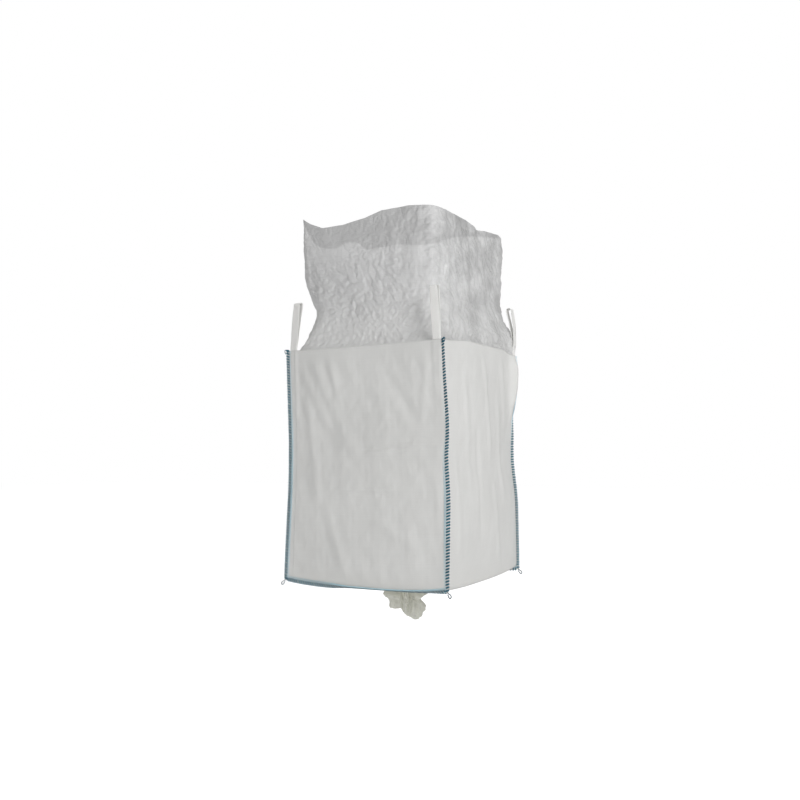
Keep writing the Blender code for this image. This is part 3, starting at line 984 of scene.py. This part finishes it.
def strap_line(rng):
    """(outward, up) of a strap's middle, from the outer leg's end over the top to the inner one's."""
    leg = STRAP_THICKNESS / 2 + 0.0001
    low = [(leg, z) for z in steps_between(LEG_BOTTOM, LOOP_BASE - 0.004, 0.012)]
    rise = steps_between(LOOP_BASE + 0.004, LOOP_TOP - 0.020, 0.010)
    share = (rise - rise[0]) / (rise[-1] - rise[0])
    bow = 0.0016 + 0.0115 * share ** 1.3 + 0.0012 * np.sin(share * math.pi) * rng.uniform(0.5, 1.5)
    outer = list(zip(bow, rise))
    arc = [(LOOP_TURN * math.cos(a), LOOP_TOP - LOOP_TURN + LOOP_TURN * math.sin(a))
           for a in np.linspace(0.15, math.pi - 0.15, 12)]
    inner = [(-o, z) for o, z in outer[::-1]]
    other = [(-o, z) for o, z in low[::-1]]
    return np.array(low + outer + arc + inner + other)


def make_straps():
    for number, corner in enumerate(CORNERS):
        rng = np.random.default_rng(STRAP_SEED + number)
        base, along, outward = loop_axes(corner)
        line = strap_line(rng)
        up = line[:, 1]
        lean, higher, tip = LOOP_HANG[corner]
        above = np.clip(up - LOOP_BASE, 0, None)
        up = up + higher * ramp(above, 0.0, 0.12)
        out = line[:, :1] - tip * (above[:, None] / (LOOP_TOP - LOOP_BASE)) ** 2
        middles = base + outward * out + np.array((0, 0, 1)) * up[:, None]
        middles = middles + along * (lean * above)[:, None]
        # The sewn legs hang with the wall point by point, and the loop above it as a rigid band
        swing = (settle(middles) - middles)[:, None]
        free = ramp(above, -0.01, 0.06)[:, None, None]
        sides = np.repeat(along[None].astype(float), len(up), axis=0)
        sides = sides + outward * (0.10 * np.sin(above / 0.23 * math.pi) * rng.uniform(-1, 1))[:, None]
        narrow = 1 - 0.10 * ramp(above, 0.12, 0.22)
        strap = ribbon("lifting_strap_" + corner, middles, sides, STRAP_WIDTH, STRAP_THICKNESS * 0.92,
                       WEBBING, narrow,
                       lambda points: settle(points) * (1 - free) + (points + swing) * free)
        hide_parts("lifting_loop_" + corner, "loop_legs_" + corner)
        hinge = Vector((*settle(middles[0])[:2], BASE_Z + LOOP_BASE))
        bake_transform(strap)


make_straps()


# ---------------------------------------------------------------- skirt

# Each corner of the skirt: (share of its height, x, y, rounding length)
SKIRT_CORNERS = {
    "front_left": (
        (0.00, 0.026, 0.006, 0.05), (0.08, 0.040, 0.012, 0.08), (0.24, 0.070, 0.030, 0.10),
        (0.32, 0.074, 0.030, 0.10), (0.50, 0.040, 0.012, 0.09), (0.75, 0.036, 0.006, 0.05),
        (1.00, 0.046, 0.000, 0.02),
    ),
    "front_right": (
        (0.00, -0.016, 0.006, 0.06), (0.10, -0.034, 0.024, 0.11), (0.30, -0.050, 0.040, 0.16),
        (0.60, -0.030, 0.016, 0.16), (0.85, -0.024, 0.008, 0.14), (1.00, -0.016, 0.002, 0.10),
    ),
    "back_right": (
        (0.00, 0.000, 0.000, 0.03), (0.05, 0.016, 0.010, 0.03), (0.12, 0.018, 0.012, 0.03),
        (0.16, 0.010, 0.006, 0.04), (0.21, 0.000, 0.000, 0.05), (0.30, -0.026, -0.004, 0.06),
        (0.43, -0.052, -0.010, 0.06), (0.60, -0.038, -0.006, 0.05), (0.90, -0.028, -0.002, 0.05),
        (1.00, -0.032, -0.002, 0.05),
    ),
    "back_left": (
        (0.00, 0.010, -0.010, 0.06), (0.25, 0.050, -0.050, 0.11), (0.60, 0.030, -0.030, 0.09),
        (1.00, 0.040, -0.036, 0.07),
    ),
}
# The skirt's uneven top edge: (turns round from the front left corner, height above the CAD's top)
SKIRT_RIM = (
    (0.000, 0.036), (0.016, 0.006), (0.040, -0.024), (0.080, -0.022), (0.120, -0.004), (0.150, 0.020),
    (0.200, 0.024), (0.235, 0.012), (0.260, 0.004), (0.330, 0.004), (0.376, 0.002), (0.390, -0.012),
    (0.430, 0.008), (0.480, 0.024), (0.500, 0.012), (0.530, 0.040), (0.570, 0.062), (0.600, 0.064),
    (0.640, 0.044), (0.680, 0.050), (0.715, 0.066), (0.740, 0.058), (0.760, 0.044), (0.785, 0.018),
    (0.800, 0.012), (0.820, 0.030), (0.850, 0.022), (0.875, -0.008), (0.900, -0.048), (0.930, -0.068),
    (0.960, -0.070), (0.984, -0.020), (1.000, 0.036),
)
# Upright folds: (number round the skirt, where they are strongest, how far they spread, height)
SKIRT_FOLDS = (
    (13, 0.40, 0.12, 0.0030), (29, 0.40, 0.08, 0.0022), (41, 0.30, 0.06, 0.0016), (11, 0.80, 0.20, 0.0060),
    (25, 0.66, 0.12, 0.0045), (33, 0.25, 0.03, 0.0030), (17, 0.90, 0.06, 0.0030),
)
# Crumpling: (size of a dent, its length to width, its depth, height of its creases, seed)
COARSE_DENTS = ((0.140, 1.8, 0.0120, 0.0, 3), (0.075, 2.2, 0.0055, 0.0, 4))
FINE_DENTS = ((0.070, 3.0, 0.0032, 0.0038, 5), (0.034, 3.4, 0.0015, 0.0030, 6))
# The creases' usual slant in radians, by turns round from the front left corner
CRUMPLE_LEAN = (
    (0.00, 0.6), (0.04, -0.1), (0.12, -0.6), (0.17, -0.7), (0.22, 0.9),
    (0.27, -1.0), (0.34, -0.9), (0.40, -1.4), (0.60, -0.4), (1.0, 0.6),
)
# How much their slant varies, in radians, and their width as a share of a dent
CRUMPLE_SPREAD = 0.50
CREASE_WIDTH = 0.16
# Cloth coordinates, the simulated grid and its slack, and the finished grid
SKIRT_GIRTH = 3.4
SKIRT_DROP = 0.64
SKIRT_AROUND = 240
SKIRT_ROWS = 48
SKIRT_SLACK = 1.035
SKIRT_FRAMES = 30
SKIRT_OVERLAP = 0.004
# How firmly the simulation holds the rim and the upright lines of points inside the skirt
RIM_HOLD = 0.6
LINE_HOLD = 0.10
LINE_SPACING = 8
FINE_AROUND = 640
FINE_ROWS = 124


def skirt_outline(share):
    """Points round the skirt at a share of its height, evenly spaced from the front left corner."""
    corners = []
    for name in ("front_left", "front_right", "back_right", "back_left"):
        side_x, side_y = CORNERS[name]
        rows = SKIRT_CORNERS[name]
        shift = [float(soft_line(share, [(r[0], r[k]) for r in rows], 0.03)) for k in (1, 2, 3)]
        half = SKIRT_HALF + 0.010 * (1 - ramp(share, 0.0, 0.06))
        corners.append((np.array((side_x * half + shift[0], side_y * half + shift[1])), shift[2]))
    path = []
    for i, (corner, round_length) in enumerate(corners):
        before, after = corners[i - 1][0], corners[(i + 1) % 4][0]
        start = corner + unit(before - corner) * round_length
        end = corner + unit(after - corner) * round_length
        for t in np.linspace(0, 1, 12):
            path.append((1 - t) ** 2 * start + 2 * t * (1 - t) * corner + t ** 2 * end)
    path = np.array(path)
    path = np.roll(path, -6, axis=0)
    closed = np.vstack([path, path[:1]])
    lengths = running_length(closed)
    wanted = np.arange(SKIRT_AROUND) / SKIRT_AROUND * lengths[-1]
    return np.stack([np.interp(wanted, lengths, closed[:, k]) for k in (0, 1)], axis=1)


def simulate(obj, frames, pin, rest_points):
    """Runs the cloth solver on obj and leaves its last shape as the mesh."""
    obj.shape_key_add(name="start")
    rest = obj.shape_key_add(name="cut")
    rest.data.foreach_set("co", rest_points.astype(np.float32).ravel())
    rest.value = 0.0
    group = obj.vertex_groups.new(name="held")
    for index, weight in enumerate(pin):
        if weight > 0:
            group.add([index], float(weight), "REPLACE")
    cloth = obj.modifiers.new("Cloth", "CLOTH")
    settings = cloth.settings
    settings.quality = 6
    settings.mass = 0.08
    settings.tension_stiffness = 14
    settings.compression_stiffness = 14
    settings.shear_stiffness = 5
    settings.bending_stiffness = 0.18
    settings.tension_damping = 6
    settings.compression_damping = 6
    settings.bending_damping = 0.5
    settings.air_damping = 4
    settings.vertex_group_mass = "held"
    settings.pin_stiffness = 1.0
    settings.rest_shape_key = rest
    settings.effector_weights.gravity = 0.25
    cloth.collision_settings.use_collision = False
    cloth.collision_settings.use_self_collision = False
    cloth.point_cache.frame_start = 1
    cloth.point_cache.frame_end = frames
    scene = bpy.context.scene
    for number in range(1, frames + 1):
        scene.frame_set(number)
    shaped = obj.evaluated_get(bpy.context.evaluated_depsgraph_get())
    points = np.zeros(len(obj.data.vertices) * 3, np.float32)
    shaped.data.vertices.foreach_get("co", points)
    obj.modifiers.remove(cloth)
    obj.shape_key_clear()
    obj.vertex_groups.remove(group)
    obj.data.vertices.foreach_set("co", points)
    obj.data.update()
    scene.frame_set(1)
    return points.reshape(-1, 3)


def skirt_frame(rows, columns):
    """Cloth coordinates of a grid round the skirt: (turns, share of the height, girth, height)."""
    turns, shares = np.meshgrid(np.arange(columns) / columns, np.linspace(0, 1, rows))
    return turns, shares, turns * SKIRT_GIRTH, shares * SKIRT_DROP


def refine(grid, rows, columns):
    """A finer grid through the points of a grid that closes on itself along its columns."""
    for axis, count in ((0, rows), (1, columns)):
        size = grid.shape[axis]
        if axis:
            place = np.arange(count) * size / count
        else:
            place = np.linspace(0, size - 1, count)
        first = np.minimum(np.floor(place).astype(int), size - 1)
        t = (place - first).reshape((-1, 1, 1) if axis == 0 else (1, -1, 1))
        mode = "wrap" if axis else "clip"
        grid = curve_between(*(np.take(grid, first + k, axis=axis, mode=mode) for k in (-1, 0, 1, 2)), t)
    return grid


def crumpling(girth, tall, table):
    """Dents both ways and their creases, over the sizes in a table."""
    total = 0.0
    for size, stretch, height, crease, seed in table:
        for sign, number in ((1, seed), (-1, seed + 100)):
            hollow, edges = crumple(girth, tall, SKIRT_GIRTH, size, stretch, number)
            strength = ramp(ripples(girth, tall, number, 6, 0.22, 0.60), -1.1, 0.9)
            total = total + sign * (height * hollow + crease * edges * strength)
    return total


def make_skirt():
    """The open skirt: folds on a coarse grid, a short cloth simulation, then fine crumples."""
    # The hung outline from the sewn edge to the uneven rim
    turns, shares, girth, tall = skirt_frame(SKIRT_ROWS, SKIRT_AROUND)
    rim = np.interp(turns, *zip(*SKIRT_RIM))
    bottom = BODY_HEIGHT - SKIRT_OVERLAP
    outline = np.stack([skirt_outline(share) for share in shares[:, 0]])
    up = bottom + (SKIRT_TOP + rim - bottom) * shares
    points = settle(np.concatenate([outline, up[..., None]], axis=-1))
    centre = points.mean(axis=1, keepdims=True) * (1, 1, 0)
    outward = unit((points - centre) * (1, 1, 0))
    wave = 2 * math.pi * turns
    rng = np.random.default_rng(5)
    drift = 0.03 * ripples(girth, tall, 8, 5, 0.25, 0.6)
    folds = crumpling(girth, tall, COARSE_DENTS)
    for count, middle, spread, height in SKIRT_FOLDS:
        lean = rng.uniform(-3, 3)
        near = np.exp(-(((turns - middle + 0.5) % 1.0 - 0.5) / spread) ** 2)
        folds = folds + height * near * np.sin(count * (wave + drift) + lean * tall + rng.uniform(0, 6.28))
    hold = ramp(shares, 0.0, 0.05) * (1 - 0.5 * ramp(shares, 0.94, 1.0))
    points = points + outward * (folds * hold)[..., None]
    faces = grid_faces(SKIRT_ROWS, SKIRT_AROUND, around=True)
    coarse = make_object("skirt_study", points, faces, THIN)
    middle = points.mean(axis=(0, 1))
    cut = middle + (points - middle) * (SKIRT_SLACK, SKIRT_SLACK, 1 + (SKIRT_SLACK - 1) * 0.9)
    held = np.zeros(points.shape[:2])
    held[0] = 1.0
    held[-1] = RIM_HOLD
    held[-1, :3] = 1.0
    held[-1, -3:] = 1.0
    held[1:-1, ::LINE_SPACING] = LINE_HOLD
    shaped = simulate(coarse, SKIRT_FRAMES, held.ravel(), cut.reshape(-1, 3))
    points = shaped.reshape(points.shape)
    bpy.data.objects.remove(coarse)
    points = refine(points, FINE_ROWS, FINE_AROUND)
    turns, shares, girth, tall = skirt_frame(FINE_ROWS, FINE_AROUND)
    outward = unit(np.cross(np.gradient(points, axis=0), np.roll(points, 1, 1) - np.roll(points, -1, 1)))
    # Calmer cloth by the front rim, and small even gathers along the sewn edge
    calm = 1 - 0.65 * np.exp(-((turns - 0.10) / 0.10) ** 2) * ramp(shares, 0.66, 0.86)
    fine = crumpling(girth, tall, FINE_DENTS) * calm
    wave = 2 * math.pi * turns + 0.03 * ripples(girth, tall, 9, 4, 0.2, 0.5)
    strong = 0.0006 + 0.0020 * np.exp(-((turns - 0.38) / 0.10) ** 2)
    fine = fine + strong * np.sin(88 * wave) * (1 - ramp(tall, 0.03, 0.14))
    hold = ramp(shares, 0.0, 0.03) * (1 - 0.5 * ramp(shares, 0.97, 1.0))
    points = points + outward * (fine * hold)[..., None]

    faces = grid_faces(FINE_ROWS, FINE_AROUND, around=True)
    skirt = make_object("skirt_cloth", points, faces, THIN, np.stack([girth, tall], axis=-1))
    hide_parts("top_skirt")
    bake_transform(skirt)


BAND_GIRTH = 3.5


def make_skirt_seam():
    """The turned-in hem round the body's top, which holds the skirt."""
    outline = skirt_outline(0.0)
    middle = outline.mean(axis=0)
    outline = middle + (outline - middle) * 1.004
    profile = (
        (0.0000, -0.038), (0.0018, -0.030), (0.0022, -0.012), (0.0016, -0.001),
        (0.0000, 0.0010), (-0.0018, -0.001), (-0.0020, -0.012), (-0.0016, -0.030),
    )
    outward = unit(outline - middle)
    plain = np.zeros((len(profile), SKIRT_AROUND, 3))
    for row, (out, high) in enumerate(profile):
        plain[row, :, :2] = outline + outward * out
        plain[row, :, 2] = BODY_HEIGHT + high
    faces = ring_faces(len(profile), SKIRT_AROUND)
    turns = np.arange(SKIRT_AROUND) / SKIRT_AROUND * BAND_GIRTH
    uvs = np.stack([np.broadcast_to(turns, plain.shape[:2]), plain[..., 2]], axis=-1)
    band = make_object("top_hem_band", settle(plain), faces, WOVEN, uvs)
    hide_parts("skirt_seam")
    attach(band, "bag")


make_skirt()
make_skirt_seam()


# ---------------------------------------------------------------- discharge spout

SPOUT_AROUND = 420
SPOUT_RUN = 0.42
NECK_RADIUS = 0.0250
# The gathered cloth from its sewn ring to its mouth: (height, radius, pleat share of the radius)
SPOUT_PROFILE = (
    (-0.0010, 0.186, 0.00), (-0.0030, 0.172, 0.03), (-0.0060, 0.150, 0.08), (-0.0120, 0.112, 0.15),
    (-0.0200, 0.068, 0.22), (-0.0270, 0.034, 0.27), (NECK_TOP, 0.0250, 0.22), (-0.0370, 0.0235, 0.20),
    (NECK_BOTTOM, 0.0250, 0.24), (-0.0520, 0.036, 0.34), (-0.0640, 0.052, 0.34), (-0.0850, 0.066, 0.30),
    (-0.1150, 0.076, 0.27), (-0.1450, 0.076, 0.27), (-0.1750, 0.064, 0.30), (-0.1980, 0.044, 0.32),
    (-0.2050, 0.028, 0.36), (-0.1950, 0.020, 0.36), (-0.1650, 0.016, 0.32),
)
SPOUT_ROWS = 120
VIEW_RIGHT = np.array((math.cos(CAMERA_YAW), math.sin(CAMERA_YAW), 0.0))
VIEW_FORWARD = np.array((-math.sin(CAMERA_YAW), math.cos(CAMERA_YAW), 0.0))
# Outline of the bunched cloth from the front: (degrees up from the right, reach from its middle)
BUNCH_MIDDLE = np.array((0.0, 0.0, -0.125))
BUNCH_OUTLINE = (
    (-180, 0.088), (-173, 0.078), (-164, 0.080), (-147, 0.092), (-138, 0.078), (-126, 0.063), (-116, 0.055),
    (-104, 0.070), (-90, 0.094), (-76, 0.112), (-66, 0.119), (-54, 0.114), (-42, 0.106), (-29, 0.103),
    (-14, 0.088), (-3, 0.068), (3, 0.076), (9, 0.108), (15, 0.100), (24, 0.070), (40, 0.056), (90, 0.050),
    (140, 0.056), (158, 0.086), (166, 0.112), (174, 0.110), (180, 0.088),
)
PLEAT_COUNTS = (5, 8, 11, 15, 20, 27, 35, 44, 58)
BUNCH_DEPTH = 0.062
BUNCH_REACH = 0.080
TIE_TURNS = 3.0
KNOT_TURNS = 2.2
TIE_RADIUS = 0.0023


def make_spout():
    """The spout's cloth: a pleated cone, the tied neck and the bunch below it."""
    heights, radii, pleats = (np.array(column) for column in zip(*SPOUT_PROFILE))
    knots = np.linspace(0, 1, len(heights))
    t = np.linspace(0, 1, SPOUT_ROWS)
    table = [soft_line(t, list(zip(knots, values)), 0.03) for values in (heights, radii, pleats)]
    height, radius, pleat = (values[:, None] for values in table)
    angle = np.arange(SPOUT_AROUND)[None] * 2 * math.pi / SPOUT_AROUND
    rng = np.random.default_rng(31)
    # Pleats of many widths round the neck
    wave = np.zeros((SPOUT_ROWS, SPOUT_AROUND))
    for count in PLEAT_COUNTS:
        lean = rng.uniform(-2.2, 2.2) * ramp(t, 0.40, 1.0)[:, None]
        wave += 1.5 / count ** 0.5 * np.sin(count * angle + lean * count * 0.3 + rng.uniform(0, 6.28))
    wave = wave / 1.6
    below = ramp(t, 0.42, 0.58)[:, None]
    reach = radius * (1 + pleat * np.tanh(wave))
    x, y = reach * np.cos(angle), reach * np.sin(angle)
    up = height + 0.16 * pleat * radius * np.tanh(1.5 * wave) * (1 - below)
    points = np.stack([x, y, up + 0 * x], axis=-1)
    # Below the neck the bunch is drawn out to its outline from the front, then made lumpy
    rays = points - BUNCH_MIDDLE
    away = unit(rays)
    right, rise = away @ VIEW_RIGHT, away[..., 2]
    facing = right ** 2 + rise ** 2
    outline = soft_line(np.degrees(np.arctan2(rise, right)), BUNCH_OUTLINE, 5.0)
    wanted = BUNCH_DEPTH + (outline - BUNCH_DEPTH) * facing ** 1.5
    points = points + rays * (below * (wanted / BUNCH_REACH - 1))[..., None]
    across, along = points[..., 0] + 2 * points[..., 2], points[..., 1] - points[..., 2]
    lumps = ripples(across, along, 33, 9, 0.030, 0.07)
    lumps = lumps + 1.2 * np.abs(ripples(across, along, 34, 6, 0.05, 0.09))
    points = points + away * (0.0030 * lumps * below)[..., None]
    # Its lowest point is the CAD's, and the cone's edge sags with the base
    level = points[..., 2]
    fitted = (NECK_BOTTOM
              + (level - NECK_BOTTOM) * (BUNDLE_BOTTOM - NECK_BOTTOM) / (level.min() - NECK_BOTTOM))
    points[..., 2] = np.where(below > 0.5, fitted, level)
    drop = BASE_SAG * (1 - below) * ramp(radius, NECK_RADIUS, SPOUT_RING)
    points[..., 2] += BASE_Z - drop
    girth = np.broadcast_to(angle * SPOUT_RADIUS, x.shape)
    run = np.broadcast_to(t[:, None] * SPOUT_RUN, x.shape)
    faces = grid_faces(SPOUT_ROWS, SPOUT_AROUND, around=True)
    faces = [face[::-1] for face in faces]
    spout = make_object("spout_cloth_bunch", points, faces, SPOUT_CLOTH, np.stack([girth, run], axis=-1))
    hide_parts("spout_gather", "spout_bundle")
    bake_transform(spout)


def make_spout_ring():
    """The folded hem that sews the spout to the base."""
    steps = 120
    section = (
        (SPOUT_RADIUS - 0.002, 0.0012), (SPOUT_RING, 0.0010), (SPOUT_RING + 0.0012, -0.0008),
        (SPOUT_RING, -0.0028), (SPOUT_RADIUS + 0.004, -0.0030), (SPOUT_RADIUS - 0.002, -0.0020),
    )
    angle = np.arange(steps) * 2 * math.pi / steps
    rows = []
    for radius, high in section:
        x, y = radius * np.cos(angle), radius * np.sin(angle)
        rows.append(np.stack([x, y, np.full_like(x, high)], axis=-1))
    plain = np.array(rows)
    faces = ring_faces(len(section), steps)
    uvs = np.stack([plain[..., 0], plain[..., 1]], axis=-1)
    ring = make_object("spout_hem_ring", settle(plain), faces, WOVEN, uvs)
    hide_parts("spout_seam")
    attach(ring, "bag")


def make_spout_tie():
    """A cord wound round the neck, and its knot."""
    t = np.linspace(0, 1, 150)
    angle = 2 * math.pi * TIE_TURNS * t - 1.1
    radius = NECK_RADIUS + 0.0052 + 0.0012 * np.sin(5 * angle + 1.0)
    up = NECK_TOP - 0.0016 + (NECK_BOTTOM - NECK_TOP + 0.0032) * t + 0.0008 * np.sin(3 * angle)
    route = np.stack([radius * np.cos(angle), radius * np.sin(angle), BASE_Z + up], axis=1)
    cord, _ = round_tube("spout_tie_cord", route, TIE_RADIUS, PALE, 8, 0.12)
    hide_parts("spout_tie")
    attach(cord, "bag")
    knot_place = unit(VIEW_RIGHT * 0.3 - VIEW_FORWARD) * (NECK_RADIUS + 0.009)
    knot_place = knot_place + np.array((0, 0, BASE_Z + (NECK_TOP + NECK_BOTTOM) / 2))
    t = np.linspace(0, 1, 60)
    wrap = 2 * math.pi * KNOT_TURNS * t
    side = np.array((-knot_place[1], knot_place[0], 0.0))
    side = side / np.linalg.norm(side)
    out = unit(knot_place * (1, 1, 0))
    knot = (knot_place + side * (0.005 * np.cos(wrap) - 0.004 + 0.008 * t)[:, None]
            + out * (0.0035 * np.sin(wrap))[:, None]
            + np.array((0, 0, 1)) * (0.004 * np.sin(wrap + 0.8))[:, None])
    tie_knot, _ = round_tube("spout_tie_knot", knot, TIE_RADIUS, PALE, 8, 0.12)
    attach(tie_knot, "bag")


make_spout_tie()
make_spout_ring()
make_spout()


# ---------------------------------------------------------------- stage and light

# Light that the bag gets from all round, and what shows through the thin cloth
WORLD_LIGHT = 0.40
BEHIND_CLOTH = 0.04
FLOOR_DROP = 0.35
FLOOR_GLOW = 0.66
FLOOR_HALF = 30.0

def make_stage():
    nodes = Material("floor", 0.9)
    nodes.shader.inputs["Base Color"].default_value = grey(0.86)
    seen = nodes.add("ShaderNodeLightPath").outputs["Is Camera Ray"]
    glow = nodes.add("ShaderNodeEmission")
    glow.inputs["Color"].default_value = grey(1)
    glow.inputs["Strength"].default_value = FLOOR_GLOW
    both = nodes.add("ShaderNodeAddShader")
    plain = nodes.shader.outputs[0]
    nodes.put(plain, both.inputs[0])
    nodes.put(glow.outputs[0], both.inputs[1])
    nodes.put(nodes.mix_shader(seen, plain, both.outputs[0]), nodes.output.inputs["Surface"])
    low = BASE_Z + BUNDLE_BOTTOM - FLOOR_DROP
    size = FLOOR_HALF
    corners = [(-size, -size, low), (size, -size, low), (size, size, low), (-size, size, low)]
    make_object("floor", corners, [(0, 1, 2, 3)], nodes.material)

    world = bpy.data.worlds.new("world")
    bpy.context.scene.world = world
    world.use_nodes = True
    nodes = Nodes(world.node_tree)
    path = nodes.add("ShaderNodeLightPath")
    direct = nodes.math("LESS_THAN", path.outputs["Transparent Depth"], 0.5)
    behind = nodes.mix_colour(direct, grey(BEHIND_CLOTH), grey(1))
    colour = nodes.mix_colour(path.outputs["Is Camera Ray"], grey(WORLD_LIGHT), behind)
    nodes.put(colour, world.node_tree.nodes["Background"].inputs["Color"])


def make_area_light(name, place, target, size, power):
    data = bpy.data.lights.new(name, "AREA")
    data.shape = "DISK"
    data.size = size
    data.energy = power
    light = link(name, data)
    light.location = place
    light.rotation_euler = (Vector(target) - Vector(place)).to_track_quat("-Z", "Y").to_euler()


make_stage()
body_middle = (0, 0, (cad_low.z + cad_high.z) / 2)
for name, place, target, size, power in (
    ("key", (5.2, -2.6, 1.6), body_middle, 2.4, 194),
    ("fill", (0.6, -5.6, -1.0), body_middle, 1.8, 33),
    ("rim", (-1.5, 5.0, 2.6), body_middle, 3.0, 60),
    ("top", (-0.4, 0.6, 3.4), (0, 0, 0), 2.2, 50),
):
    make_area_light(name, place, target, size, power)
bpy.context.scene.view_settings.view_transform = "Standard"
